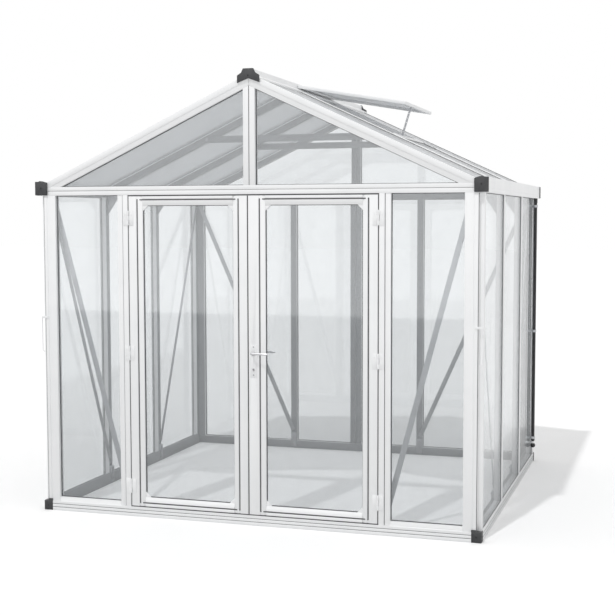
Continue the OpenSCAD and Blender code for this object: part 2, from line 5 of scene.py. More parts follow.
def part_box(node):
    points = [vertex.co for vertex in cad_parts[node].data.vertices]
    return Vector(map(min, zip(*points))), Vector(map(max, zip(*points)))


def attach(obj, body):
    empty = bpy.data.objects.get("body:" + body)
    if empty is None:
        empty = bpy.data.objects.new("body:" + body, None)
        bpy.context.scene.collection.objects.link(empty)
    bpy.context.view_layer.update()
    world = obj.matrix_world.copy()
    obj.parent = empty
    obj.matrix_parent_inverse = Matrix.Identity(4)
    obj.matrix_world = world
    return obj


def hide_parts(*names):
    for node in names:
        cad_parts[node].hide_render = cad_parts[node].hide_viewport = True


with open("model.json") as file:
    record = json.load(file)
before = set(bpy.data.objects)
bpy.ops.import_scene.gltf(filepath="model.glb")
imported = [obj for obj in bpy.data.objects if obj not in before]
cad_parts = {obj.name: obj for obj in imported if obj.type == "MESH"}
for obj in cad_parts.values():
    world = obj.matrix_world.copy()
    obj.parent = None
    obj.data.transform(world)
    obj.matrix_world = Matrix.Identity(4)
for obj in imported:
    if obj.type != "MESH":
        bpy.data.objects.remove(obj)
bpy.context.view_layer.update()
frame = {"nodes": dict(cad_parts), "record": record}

bodyOf = {node: body for body, nodes in frame["record"]["behaviour"]["bodies"].items() for node in nodes}
turn = math.radians


# ---- hand tools ----

def clearSelection():
    if bpy.context.mode != "OBJECT":
        bpy.ops.object.mode_set(mode="OBJECT")
    bpy.ops.object.select_all(action="DESELECT")


def pick(*pieces):
    clearSelection()
    for piece in pieces:
        piece.select_set(True)
    bpy.context.view_layer.objects.active = pieces[0]
    return pieces[0]


def settle(name):
    # place, turn and size go into the mesh of the piece just made
    piece = pick(bpy.context.object)
    bpy.ops.object.transform_apply(location=True, rotation=True, scale=True)
    piece.name = name
    return piece


def bar(name, low, high):
    low, high = Vector(low), Vector(high)
    clearSelection()
    bpy.ops.mesh.primitive_cube_add(size=1, location=(low + high) / 2, scale=high - low)
    return settle(name)


def turned(name, start, end, radius, sides=16, endRadius=None):
    start, end = Vector(start), Vector(end)
    way = (end - start).to_track_quat("Z", "Y").to_euler()
    clearSelection()
    if endRadius is None:
        bpy.ops.mesh.primitive_cylinder_add(vertices=sides, radius=radius, depth=(end - start).length,
                                            location=(start + end) / 2, rotation=way)
    else:
        bpy.ops.mesh.primitive_cone_add(vertices=sides, radius1=radius, radius2=endRadius,
                                        depth=(end - start).length, location=(start + end) / 2, rotation=way)
    return settle(name)


def chooseFaces(piece, wanted):
    # edit mode, with just the faces that pass the test selected
    pick(piece)
    bpy.ops.object.mode_set(mode="EDIT")
    bpy.ops.mesh.select_mode(type="FACE")
    bpy.ops.mesh.select_all(action="DESELECT")
    bpy.ops.object.mode_set(mode="OBJECT")
    for face in piece.data.polygons:
        face.select = wanted(face)
    bpy.ops.object.mode_set(mode="EDIT")


def facing(direction, limit=0.9):
    direction = Vector(direction).normalized()
    return lambda face: face.normal.dot(direction) > limit


def pushFaces(amount):
    bpy.ops.mesh.extrude_region_shrink_fatten(TRANSFORM_OT_shrink_fatten={"value": amount})


def soften(piece, width, segments=2, angle=30):
    pick(piece)
    edge = piece.modifiers.new("softEdges", "BEVEL")
    edge.width = width
    edge.segments = segments
    edge.limit_method = "ANGLE"
    edge.angle_limit = turn(angle)
    bpy.ops.object.modifier_apply(modifier=edge.name)
    bpy.ops.object.shade_smooth_by_angle(angle=turn(35))
    return piece


def placedCopy(piece, name, place):
    # a copy with a mesh of its own, moved in the mesh
    copy = bpy.data.objects.new(name, piece.data.copy())
    bpy.context.collection.objects.link(copy)
    copy.data.transform(place)
    if place.to_3x3().determinant() < 0:
        pick(copy)
        bpy.ops.object.mode_set(mode="EDIT")
        bpy.ops.mesh.select_all(action="SELECT")
        bpy.ops.mesh.normals_make_consistent(inside=False)
        bpy.ops.object.mode_set(mode="OBJECT")
    return copy


def standOn(place, direction, spin=0):
    # a matrix that stands a piece, drawn along +Z at the origin, on a face
    way = Vector(direction).normalized().to_track_quat("Z", "Y").to_matrix().to_4x4()
    return Matrix.Translation(place) @ way @ Matrix.Rotation(spin, 4, "Z")


def joined(name, pieces):
    piece = pick(*pieces)
    if len(pieces) > 1:
        bpy.ops.object.join()
    piece.name = name
    return piece


def drop(*pieces):
    for piece in pieces:
        bpy.data.objects.remove(piece)


def workedCopy(node, name):
    # a copy of a node as whole faces, ready to be worked on
    source = frame["nodes"][node]
    piece = bpy.data.objects.new(name, source.data.copy())
    bpy.context.collection.objects.link(piece)
    piece.data.materials.clear()
    pick(piece)
    bpy.ops.mesh.customdata_custom_splitnormals_clear()
    bpy.ops.object.mode_set(mode="EDIT")
    bpy.ops.mesh.select_all(action="SELECT")
    bpy.ops.mesh.remove_doubles(threshold=0.00002)
    bpy.ops.mesh.dissolve_limited(angle_limit=turn(0.6))
    bpy.ops.object.mode_set(mode="OBJECT")
    return piece


def islands(node):
    # the corner points of each separate solid of a node
    piece = workedCopy(node, "islandCopy")
    spots = [vertex.co.copy() for vertex in piece.data.vertices]
    group = list(range(len(spots)))

    def root(index):
        while group[index] != index:
            index = group[index]
        return index

    for edge in piece.data.edges:
        group[root(edge.vertices[0])] = root(edge.vertices[1])
    found = {}
    for index, spot in enumerate(spots):
        found.setdefault(root(index), []).append(spot)
    drop(piece)
    return list(found.values())


def middle(spots):
    return sum(spots, Vector()) / len(spots)


def corners(spots):
    return (Vector(min(spot[k] for spot in spots) for k in range(3)),
            Vector(max(spot[k] for spot in spots) for k in range(3)))


# ---- finishes ----

class Wire:
    # one output socket of a node, so that sums on it read as sums
    tree = None

    def __init__(self, socket):
        self.socket = socket

    @classmethod
    def node(cls, kind, settings=None, sockets=None, out=0):
        made = cls.tree.nodes.new("ShaderNode" + kind)
        for key, value in (settings or {}).items():
            if key == "stops":
                for stop, (place, shade) in zip(made.color_ramp.elements, value):
                    stop.position, stop.color = place, shade
            else:
                setattr(made, key, value)
        for key, value in (sockets or {}).items():
            if isinstance(value, Wire):
                cls.tree.links.new(value.socket, made.inputs[key])
            else:
                made.inputs[key].default_value = value
        return cls(made.outputs[out])

    def sum(self, operation, first, second):
        return Wire.node("Math", {"operation": operation}, {0: first, 1: second})

    def __add__(self, other):
        return self.sum("ADD", self, other)

    def __radd__(self, other):
        return self.sum("ADD", other, self)

    def __sub__(self, other):
        return self.sum("SUBTRACT", self, other)

    def __rsub__(self, other):
        return self.sum("SUBTRACT", other, self)

    def __mul__(self, other):
        return self.sum("MULTIPLY", self, other)

    def __rmul__(self, other):
        return self.sum("MULTIPLY", other, self)

    def __truediv__(self, other):
        return self.sum("DIVIDE", self, other)

    def __pow__(self, other):
        return self.sum("POWER", self, other)


def newFinish(name):
    finish = bpy.data.materials.new(name)
    finish.use_nodes = True
    finish.node_tree.nodes.clear()
    Wire.tree = finish.node_tree
    return finish


def place():
    return Wire.node("TexCoord", out=3)


def stretched(scale):
    return Wire.node("Mapping", None, {"Vector": place(), "Scale": scale})


def speckle(scale, detail=3.0, roughness=0.5, stretch=(1, 1, 1)):
    return Wire.node("TexNoise", None, {"Vector": stretched(stretch), "Scale": scale,
                                        "Detail": detail, "Roughness": roughness})


def between(value, low, high, steps="LINEAR"):
    return Wire.node("MapRange", {"interpolation_type": steps, "clamp": True},
                     {0: value, 1: low, 2: high, 3: 0.0, 4: 1.0})


def shade(factor, first, second, blend="MIX"):
    first, second = [c if isinstance(c, Wire) else (*c, 1.0) for c in (first, second)]
    return Wire.node("Mix", {"data_type": "RGBA", "blend_type": blend}, {0: factor, 6: first, 7: second}, out=2)


def bumped(height, strength, distance):
    return Wire.node("Bump", None, {"Height": height, "Strength": strength, "Distance": distance})


def surface(shader):
    made = Wire.tree.nodes.new("ShaderNodeOutputMaterial")
    Wire.tree.links.new(shader.socket, made.inputs["Surface"])


def roomShadeMask():
    # 1 on the faces that look into the room, which get painted shade
    room = {"x": 1.2015, "y": 1.050, "ridge": 2.413, "fall": 0.4663, "roof": 0.022}
    x, y, z = [Wire.node("SeparateXYZ", None, {0: place()}, out=axis) for axis in range(3)]
    acrossX = Wire.node("Math", {"operation": "ABSOLUTE"}, {0: x})
    alongY = Wire.node("Math", {"operation": "ABSOLUTE"}, {0: y - 0.02})
    inX = Wire.node("Math", {"operation": "LESS_THAN"}, {0: acrossX, 1: room["x"]})
    inY = Wire.node("Math", {"operation": "LESS_THAN"}, {0: alongY, 1: room["y"] + 0.0155})
    inZ = Wire.node("Math", {"operation": "LESS_THAN"},
                    {0: z + acrossX * room["fall"], 1: room["ridge"] - room["roof"]})
    return inX * inY * inZ


def paleAluminium():
    # satin extrusion: faint streaks from the die, darker towards the bottom; painted shade on the faces inside the room
    look = {"light": (0.89, 0.895, 0.90), "dull": (0.82, 0.83, 0.84), "paintedShadeInside": (0.36, 0.37, 0.385),
            "metallic": 0.2, "roughness": 0.36}
    finish = newFinish("paleAluminium")
    cloud = between(speckle(6.0, 4.0), 0.35, 0.7)
    fine = speckle(900.0, 2.0)
    height = Wire.node("SeparateXYZ", None, {0: place()}, out=2)
    low = 1.0 - between(height, 0.0, 0.12, "SMOOTHSTEP")
    baseTone = shade(cloud * 0.5 + low * 0.25, look["light"], look["dull"])
    # painted shade: faces inside the room turn dark grey
    colour = shade(roomShadeMask(), baseTone, look["paintedShadeInside"])
    surface(Wire.node("BsdfPrincipled", None, {
        "Base Color": colour, "Metallic": look["metallic"],
        "Roughness": look["roughness"] + cloud * 0.08 + fine * 0.05,
        "Normal": bumped(fine, 0.12, 0.0004)}))
    return finish


def millAluminium():
    # plain rolled strip and castings, greyer than the extrusions
    look = {"light": (0.60, 0.61, 0.63), "dull": (0.46, 0.47, 0.49), "metallic": 0.6, "roughness": 0.34}
    finish = newFinish("millAluminium")
    streak = speckle(160.0, 3.0, 0.6, (1, 1, 0.08))
    cloud = between(speckle(14.0, 3.0), 0.3, 0.75)
    surface(Wire.node("BsdfPrincipled", None, {
        "Base Color": shade(cloud * 0.6 + streak * 0.3, look["light"], look["dull"]),
        "Metallic": look["metallic"], "Roughness": look["roughness"] + streak * 0.15,
        "Normal": bumped(streak, 0.15, 0.0004)}))
    return finish


def mouldedPlastic(name, light, dull, roughness):
    finish = newFinish(name)
    grain = speckle(1400.0, 2.0)
    cloud = between(speckle(25.0, 3.0), 0.35, 0.7)
    surface(Wire.node("BsdfPrincipled", None, {
        "Base Color": shade(cloud, light, dull), "Roughness": roughness + grain * 0.12,
        "Normal": bumped(grain, 0.25, 0.0005)}))
    return finish


def zincSteel():
    finish = newFinish("zincSteel")
    cloud = between(speckle(220.0, 3.0), 0.35, 0.7)
    surface(Wire.node("BsdfPrincipled", None, {
        "Base Color": shade(cloud, (0.62, 0.62, 0.64), (0.42, 0.43, 0.45)), "Metallic": 0.85,
        "Roughness": 0.28 + cloud * 0.14}))
    return finish


def handleSteel():
    finish = newFinish("handleSteel")
    brush = speckle(700.0, 2.0, 0.5, (0.06, 1, 1))
    surface(Wire.node("BsdfPrincipled", None, {
        "Base Color": shade(brush, (0.80, 0.80, 0.81), (0.66, 0.66, 0.68)), "Metallic": 0.7,
        "Roughness": 0.22 + brush * 0.14, "Normal": bumped(brush, 0.1, 0.0003)}))
    return finish


def clearSheet():
    # clear polycarbonate: mostly open, a cool tint, mirrors a little, most at a glance
    look = {"tint": (0.972, 0.979, 0.983, 1.0), "body": (0.74, 0.78, 0.80), "haze": 0.045, "mirror": 0.12, "glance": 0.5}
    finish = newFinish("clearSheet")
    wave = speckle(1.3, 2.0)
    dust = between(speckle(9.0, 5.0, 0.6), 0.45, 0.85)
    sheet = Wire.node("BsdfPrincipled", None, {
        "Base Color": shade(dust, look["body"], (0.78, 0.81, 0.83)), "Roughness": 0.12 + dust * 0.2,
        "Normal": bumped(wave, 0.05, 0.01)})
    open_ = Wire.node("BsdfTransparent", None, {"Color": look["tint"]})
    seen = Wire.node("MixShader", None, {0: look["haze"] + dust * 0.03, 1: open_, 2: sheet})
    mirror = Wire.node("BsdfGlossy", None, {"Color": (1, 1, 1, 1), "Roughness": 0.03})
    glance = Wire.node("LayerWeight", None, {"Blend": 0.5}, out=1)
    surface(Wire.node("MixShader", None, {0: look["mirror"] + glance ** 5 * look["glance"], 1: seen, 2: mirror}))
    return finish


def opalSheet():
    # twin-wall sheet: flutes 10 mm apart run down the slope
    look = {"wall": (0.76, 0.77, 0.785), "rib": (0.64, 0.66, 0.68), "open": 0.36, "flute": 0.010}
    finish = newFinish("opalSheet")
    across = Wire.node("SeparateXYZ", None, {0: place()}, out=1)
    phase = Wire.node("Math", {"operation": "PINGPONG"}, {0: across, 1: look["flute"] / 2}) / (look["flute"] / 2)
    rib = 1.0 - between(phase, 0.0, 0.25, "SMOOTHSTEP")
    cloud = between(speckle(3.0, 3.0), 0.3, 0.7)
    sheet = Wire.node("BsdfPrincipled", None, {
        "Base Color": shade(rib * 0.7 + cloud * 0.15, look["wall"], look["rib"]),
        "Roughness": 0.3 + cloud * 0.1, "Normal": bumped(rib, 0.2, 0.0008)})
    open_ = Wire.node("BsdfTransparent", None, {"Color": (0.97, 0.98, 0.99, 1.0)})
    surface(Wire.node("MixShader", None, {0: 1.0 - look["open"] * (1.0 - rib * 0.4), 1: open_, 2: sheet}))
    return finish


finishes = {
    "paleAluminium": paleAluminium(),
    "millAluminium": millAluminium(),
    "darkPlastic": mouldedPlastic("darkPlastic", (0.060, 0.061, 0.064), (0.042, 0.043, 0.046), 0.42),
    "blackPipe": mouldedPlastic("blackPipe", (0.022, 0.022, 0.024), (0.015, 0.015, 0.017), 0.30),
    "rubberSealAndShade": mouldedPlastic("rubberSealAndShade", (0.10, 0.10, 0.105), (0.07, 0.07, 0.075), 0.62),
    "zincSteel": zincSteel(),
    "handleSteel": handleSteel(),
    "clearSheet": clearSheet(),
    "opalSheet": opalSheet(),
}


def dress(piece, finish, body=None, nodes=()):
    piece.data.materials.clear()
    piece.data.materials.append(finishes[finish])
    if nodes:
        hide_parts(*nodes)
    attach(piece, body or bodyOf[nodes[0]])
    return piece


print("finishes made")

# ---- extrusions, panes and caps kept from the frame ----

softEdges = {  # rounding of each piece's edges, in metres
    "base_rails": 0.0015, "corner_posts": 0.0012, "door_posts": 0.0012, "side_posts": 0.0012,
    "back_posts": 0.0015, "headers": 0.0009, "gutters": 0.0009, "ridge_beam": 0.0015,
    "gable_rafters": 0.0015, "roof_bars": 0.0015, "gable_mullions": 0.0015, "collar_ties": 0.0009,
    "vent_sill": 0.0015, "vent_frame": 0.002, "left_stiles": 0.0009, "left_rails": 0.0009,
    "right_stiles": 0.0009, "right_rails": 0.0009, "post_hooks": 0.0008, "hinge_seats": 0.0006,
    "left_hinges": 0.0006, "right_hinges": 0.0006,
    "left_gussets": 0.0008, "right_gussets": 0.0008}
softStrips = {"end_braces": 0.0008, "side_braces": 0.0008, "eave_gussets": 0.0008, "foot_brackets": 0.001,
              "pipe_clips": 0.0006}
softMouldings = {"base_corners": 0.004, "eave_caps": 0.0025, "ridge_caps": 0.0025}

for sizes, finish in ((softEdges, "paleAluminium"), (softStrips, "millAluminium"), (softMouldings, "darkPlastic")):
    for node, width in sizes.items():
        piece = soften(workedCopy(node, node + "Finished"), width)
        dress(piece, finish, None, [node])

kept = {"clearSheet": ["front_panes", "side_panes", "back_panes", "gable_panes", "left_pane", "right_pane"],
        "opalSheet": ["roof_panes", "vent_pane"], "blackPipe": ["pipe_outlet"]}
for finish, nodes in kept.items():
    for node in nodes:
        own = frame["nodes"][node].data.materials
        own.clear()
        own.append(finishes[finish])
print("extrusions, caps and panes finished")

# ---- glazing seals ----

sealSizes = {"wide": 0.0028, "high": 0.0025, "lift": 0.0001, "round": 0.0007}
slope = turn(25)
sealFaces = {
    "front_panes": [(0, -1, 0), (0, 1, 0)],
    "side_panes": [(1, 0, 0), (-1, 0, 0)],
    "back_panes": [(0, -1, 0), (0, 1, 0)],
    "gable_panes": [(0, -1, 0), (0, 1, 0)],
    "roof_panes": [(math.sin(slope), 0, math.cos(slope)), (-math.sin(slope), 0, math.cos(slope))],
    "left_pane": [(0, -1, 0), (0, 1, 0)],
    "right_pane": [(0, -1, 0), (0, 1, 0)]}


def sealOn(node, outward, name):
    # a rubber strip round each pane, on the side that looks outward
    seal = workedCopy(node, name)
    outward = Vector(outward)
    chooseFaces(seal, lambda face: face.normal.dot(outward) < 0.95)
    bpy.ops.mesh.delete(type="FACE")
    bpy.ops.mesh.select_all(action="SELECT")
    bpy.ops.mesh.inset(thickness=sealSizes["wide"], depth=0, use_even_offset=True)
    bpy.ops.mesh.delete(type="FACE")
    bpy.ops.mesh.select_all(action="SELECT")
    bpy.ops.transform.translate(value=outward * sealSizes["lift"])
    bpy.ops.object.mode_set(mode="OBJECT")
    wall = seal.modifiers.new("thickness", "SOLIDIFY")
    wall.thickness = sealSizes["high"]
    wall.offset = 1
    bpy.ops.object.modifier_apply(modifier=wall.name)
    return soften(seal, sealSizes["round"], 1)


for node, sides in sealFaces.items():
    strips = [sealOn(node, outward, "strip") for outward in sides]
    dress(joined(node + "Seals", strips), "rubberSealAndShade", bodyOf[node])
print("glazing seals run")

# ---- painted shade: dark strips in the gaps and grooves ----

gapSizes = {"deep": 0.004, "leafGroove": 0.0035, "slack": 0.0004, "round": 0.0004}
headerLow, headerHigh = [Vector(c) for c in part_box("headers")]
postLow, postHigh = [Vector(c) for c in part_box("door_posts")]
leftLow, leftHigh = [Vector(c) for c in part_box("left_stiles")]
rightLow, rightHigh = [Vector(c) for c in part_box("right_stiles")]
front = rightLow.y
opening = rightHigh.x + 0.006


def shadeStrip(low, high):
    return soften(bar("shadeStrip", low, high), gapSizes["round"], 1)


def frameShadeStrips():
    # painted shade: dark strips in the gaps round the doorway, a strip between the mullion halves and lines in the
    # header and posts
    strips = []
    for side in (-1, 1):
        xs = sorted((side * (opening - 0.0048), side * (opening - 0.0002)))
        strips.append(shadeStrip((xs[0], front + 0.004, rightLow.z), (xs[1], front + 0.020, rightHigh.z)))
        xs = sorted((side * 1.2172, side * 1.2228))
        strips.append(shadeStrip((xs[0], front + 0.0016, postLow.z + 0.002), (xs[1], front + 0.0036, postHigh.z - 0.001)))
        xs = sorted((side * (opening + 0.0304), side * (opening + 0.0326)))
        strips.append(shadeStrip((xs[0], front + 0.0036, postLow.z + 0.002), (xs[1], front + 0.0064, postHigh.z - 0.001)))
    strips.append(shadeStrip((-opening, front + 0.003, rightHigh.z + 0.0012), (opening, front + 0.018, headerLow.z - 0.0002)))
    strips.append(shadeStrip((-opening, front + 0.003, postLow.z + 0.0002), (opening, front + 0.018, rightLow.z - 0.0012)))
    for y, way in ((front, 1), (headerHigh.y, -1)):
        ys = sorted((y + way * 0.0018, y + way * 0.0036))
        strips.append(shadeStrip((headerLow.x, ys[0], headerLow.z + 0.0241), (headerHigh.x, ys[1], headerLow.z + 0.0259)))
        low, high = [Vector(c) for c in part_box("gable_mullions")]
        ys = sorted((y + way * 0.004, y + way * 0.012))
        strips.append(shadeStrip((-0.0018, ys[0], low.z), (0.0018, ys[1], high.z - 0.002)))
    # painted shade in the two grooves along the base rails
    baseLow, baseHigh = [Vector(c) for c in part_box("base_rails")]
    for height in (0.0180, 0.0360):
        for y, way in ((baseLow.y, 1), (baseHigh.y, -1)):
            ys = sorted((y + way * 0.0022, y + way * 0.0036))
            strips.append(shadeStrip((baseLow.x + 0.053, ys[0], height + 0.0004), (baseHigh.x - 0.053, ys[1], height + 0.0026)))
        for x, way in ((baseLow.x, 1), (baseHigh.x, -1)):
            xs = sorted((x + way * 0.0005, x + way * 0.0036))
            strips.append(shadeStrip((xs[0], baseLow.y + 0.053, height + 0.0004), (xs[1], baseHigh.y - 0.053, height + 0.0026)))
    low, high = [Vector(c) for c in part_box("back_posts")]
    strips.append(shadeStrip((-0.0018, high.y - 0.030, low.z), (0.0018, high.y - 0.012, high.z)))
    return dress(joined("frameShadeStrips", strips), "rubberSealAndShade", "house")


def meetingGapShade():
    # painted shade: a dark strip in the gap between the leaves; it rides on the left one
    strip = shadeStrip((leftHigh.x - 0.0002, front + 0.003, leftLow.z + 0.001),
                     (leftHigh.x + 0.0045, front + 0.020, leftHigh.z - 0.001))
    return dress(strip, "rubberSealAndShade", "door_left")


def grooveShadeRing(name, low, high, bands, body):
    # painted shade: a flat dark ring in the groove between a leaf's plain band and its bead
    clearSelection()
    inLow = Vector((low.x + bands["left"], 0, low.z + bands["foot"]))
    inHigh = Vector((high.x - bands["right"], 0, high.z - bands["head"]))
    centre = (inLow + inHigh) / 2
    bpy.ops.mesh.primitive_plane_add(size=1, location=(centre.x, front + gapSizes["leafGroove"], centre.z),
                                     rotation=(turn(90), 0, 0))
    bpy.context.object.scale = (inHigh.x - inLow.x, inHigh.z - inLow.z, 1)
    ring = settle(name)
    bpy.ops.object.mode_set(mode="EDIT")
    bpy.ops.mesh.select_all(action="SELECT")
    bpy.ops.mesh.inset(thickness=bands["wide"], depth=0)
    bpy.ops.mesh.delete(type="FACE")
    bpy.ops.object.mode_set(mode="OBJECT")
    wall = ring.modifiers.new("thickness", "SOLIDIFY")
    wall.thickness = 0.0012
    wall.offset = 0
    bpy.ops.object.modifier_apply(modifier=wall.name)
    soften(ring, 0.0002, 1)
    return dress(ring, "rubberSealAndShade", body)


frameShadeStrips()
meetingGapShade()
leafBands = {"left": 0.0468, "right": 0.0468, "foot": 0.0158, "head": 0.0158, "wide": 0.0058}
grooveShadeRing("leftGrooveShade", leftLow, leftHigh, leafBands, "door_left")
grooveShadeRing("rightGrooveShade", rightLow, rightHigh, {**leafBands, "left": 0.0598}, "door_right")
print("gaps sealed")

# ---- bolts and screws ----

boltSizes = {"across": 0.0065, "high": 0.0045, "washer": 0.0095, "washerHigh": 0.0014}
screwSizes = {"radius": 0.0042, "high": 0.0022, "socket": 0.0018, "deep": 0.0012}


def makeBolt():
    washer = turned("boltDraft", (0, 0, 0), (0, 0, boltSizes["washerHigh"]), boltSizes["washer"], 16)
    chooseFaces(washer, facing((0, 0, 1)))
    bpy.ops.mesh.inset(thickness=0.0008, depth=-0.0003)
    bpy.ops.object.mode_set(mode="OBJECT")
    head = turned("boltHead", (0, 0, boltSizes["washerHigh"]), (0, 0, boltSizes["washerHigh"] + boltSizes["high"]),
                  boltSizes["across"], 6)
    soften(head, 0.0008, 1)
    end = turned("boltEnd", (0, 0, boltSizes["high"]), (0, 0, boltSizes["high"] + 0.004), 0.0032, 10)
    soften(end, 0.0006, 1)
    return joined("bolt", [washer, head, end])


def makeScrew():
    screw = turned("screw", (0, 0, 0), (0, 0, screwSizes["high"]), screwSizes["radius"], 14)
    soften(screw, 0.0009, 2)
    chooseFaces(screw, lambda face: face.normal.z > 0.99)
    bpy.ops.mesh.inset(thickness=screwSizes["radius"] - 0.0009 - screwSizes["socket"])
    pushFaces(-screwSizes["deep"])
    bpy.ops.object.mode_set(mode="OBJECT")
    return screw


bolt, screw = makeBolt(), makeScrew()


def fixings(name, pattern, spots, body, finish="zincSteel"):
    # spots: place, outward direction, turn
    copies = [placedCopy(pattern, name, standOn(spot, direction, 0.4 * count))
              for count, (spot, direction) in enumerate(spots)]
    return dress(joined(name, copies), finish, body)


braceBolts = {"in": 0.022}
spots = []
for node in ("end_braces", "side_braces"):
    for solid in islands(node):
        low, high = corners(solid)
        centre = (low + high) / 2
        thin = 1 if node == "end_braces" else 0
        inward = Vector((0, 0, 0))
        inward[thin] = -1 if centre[thin] > 0 else 1
        face = low[thin] if inward[thin] < 0 else high[thin]
        tall = sorted(solid, key=lambda spot: spot.z)
        foot, head = middle(tall[:4]), middle(tall[-4:])
        way = (head - foot).normalized()
        for end, step in ((foot, way), (head, -way)):
            spot = end + step * braceBolts["in"]
            spot[thin] = face
            spots.append((spot, inward))
fixings("braceBolts", bolt, spots, "house")

bracketBolts = {"low": 0.030, "high": 0.092, "side": 0.0}
spots = []
for solid in islands("foot_brackets"):
    low, high = corners(solid)
    centre = (low + high) / 2
    if centre.y > 1.0:
        direction, face = Vector((0, -1, 0)), Vector((centre.x, low.y, 0))
    else:
        direction = Vector((-1 if centre.x > 0 else 1, 0, 0))
        face = Vector((low.x if centre.x > 0 else high.x, centre.y, 0))
    for height in (bracketBolts["low"], bracketBolts["high"]):
        spots.append((Vector((face.x, face.y, height)), direction))
fixings("bracketBolts", bolt, spots, "house")

gussetBolts = {"down": 0.075, "post": 0.014, "alongBar": 0.070}
spots = []
for solid in islands("eave_gussets"):
    low, high = corners(solid)
    side = 1 if low.x > 0 else -1
    outer = high.x if side > 0 else low.x
    top = high.z
    for inX, downZ in ((gussetBolts["post"], 0.115), (gussetBolts["post"], 0.045), (gussetBolts["alongBar"], 0.012)):
        spots.append((Vector((outer - side * inX, low.y, top - downZ)), Vector((0, -1, 0))))
fixings("gussetBolts", bolt, spots, "house")

tieBolts = {"in": 0.020}
spots = []
for solid in islands("collar_ties"):
    low, high = corners(solid)
    front = low.y < 0
    for x in (low.x + tieBolts["in"], high.x - tieBolts["in"]):
        face = low.y if front else high.y
        spots.append((Vector((x, face, (low.z + high.z) / 2)), Vector((0, -1 if front else 1, 0))))
fixings("tieBolts", bolt, spots, "house")

capScrews = {"baseUp": 0.028, "eaveIn": 0.018}
spots = []
for solid in islands("base_corners"):
    low, high = corners(solid)
    centre = (low + high) / 2
    yFace = low.y if centre.y < 0 else high.y
    xFace = high.x if centre.x > 0 else low.x
    spots.append((Vector((centre.x, yFace, capScrews["baseUp"])), Vector((0, -1 if centre.y < 0 else 1, 0))))
    spots.append((Vector((xFace, centre.y, capScrews["baseUp"])), Vector((1 if centre.x > 0 else -1, 0, 0))))
for node in ("eave_caps", "ridge_caps"):
    for solid in islands(node):
        low, high = corners(solid)
        if low.y < 0:
            spots.append((Vector(((low.x + high.x) / 2, low.y, (low.z + high.z) / 2)), Vector((0, -1, 0))))
fixings("capScrews", screw, spots, "house", "blackPipe")
print("bolts and screws driven")

# ---- hinges ----

hingeScrews = {"up": 0.022}
for node, body in (("hinge_seats", "house"), ("left_hinges", "door_left"), ("right_hinges", "door_right")):
    spots = []
    for solid in islands(node):
        low, high = corners(solid)
        side = 1 if low.x > 0 else -1
        outside = node == "hinge_seats"
        plate = high.x if (side > 0) == outside else low.x
        x = plate + (-0.010 if (side > 0) == outside else 0.010)
        y = high.y - 0.003
        for up in (low.z + hingeScrews["up"], high.z - hingeScrews["up"]):
            spots.append((Vector((x, y, up)), Vector((0, -1, 0))))
    fixings(node + "Screws", screw, spots, body, "paleAluminium")
print("hinges screwed on")

# ---- lock and lever ----

lockSizes = {"plateRound": 0.001, "keyDown": 0.090, "keyRadius": 0.0085, "keyLip": 0.0015, "keyway": 0.0016,
             "rose": 0.0135, "roseHigh": 0.006, "neck": 0.0062, "bend": 0.012, "grip": 0.0064,
             "screwIn": 0.012}
plateLow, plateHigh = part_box("lock_plates")
leverLow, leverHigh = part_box("door_lever")
leverX = leverLow[0] + 0.007
leverZ = (leverLow[2] + leverHigh[2]) / 2
plates = soften(workedCopy("lock_plates", "lockPlates"), lockSizes["plateRound"])
dress(plates, "paleAluminium", None, ["lock_plates"])

spots = []
for y, out in ((plateLow[1], -1), (plateHigh[1], 1)):
    for z in (plateLow[2] + lockSizes["screwIn"], plateHigh[2] - lockSizes["screwIn"]):
        spots.append((Vector(((plateLow[0] + plateHigh[0]) / 2, y, z)), Vector((0, out, 0))))
fixings("lockScrews", screw, spots, "door_right")


def makeKeyCylinder(y, out):
    x, z = (plateLow[0] + plateHigh[0]) / 2, leverZ - lockSizes["keyDown"]
    barrel = turned("keyBarrel", (x, y - out * 0.002, z), (x, y + out * 0.005, z), lockSizes["keyRadius"], 24)
    soften(barrel, 0.0008, 2)
    chooseFaces(barrel, facing((0, out, 0), 0.99))
    bpy.ops.mesh.inset(thickness=lockSizes["keyLip"])
    pushFaces(-0.0008)
    bpy.ops.object.mode_set(mode="OBJECT")
    dress(barrel, "handleSteel", "door_right")
    # painted shade: a dark bar on the barrel's face stands for the keyway's hollow
    keywayShadeSlot = bar("keyway", (x - lockSizes["keyway"], min(y + out * 0.003, y + out * 0.0046), z - 0.0048),
               (x + lockSizes["keyway"], max(y + out * 0.003, y + out * 0.0046), z + 0.0048))
    soften(keywayShadeSlot, 0.0005, 1)
    return dress(keywayShadeSlot, "rubberSealAndShade", "door_right")


makeKeyCylinder(plateLow[1], -1)
makeKeyCylinder(plateHigh[1], 1)


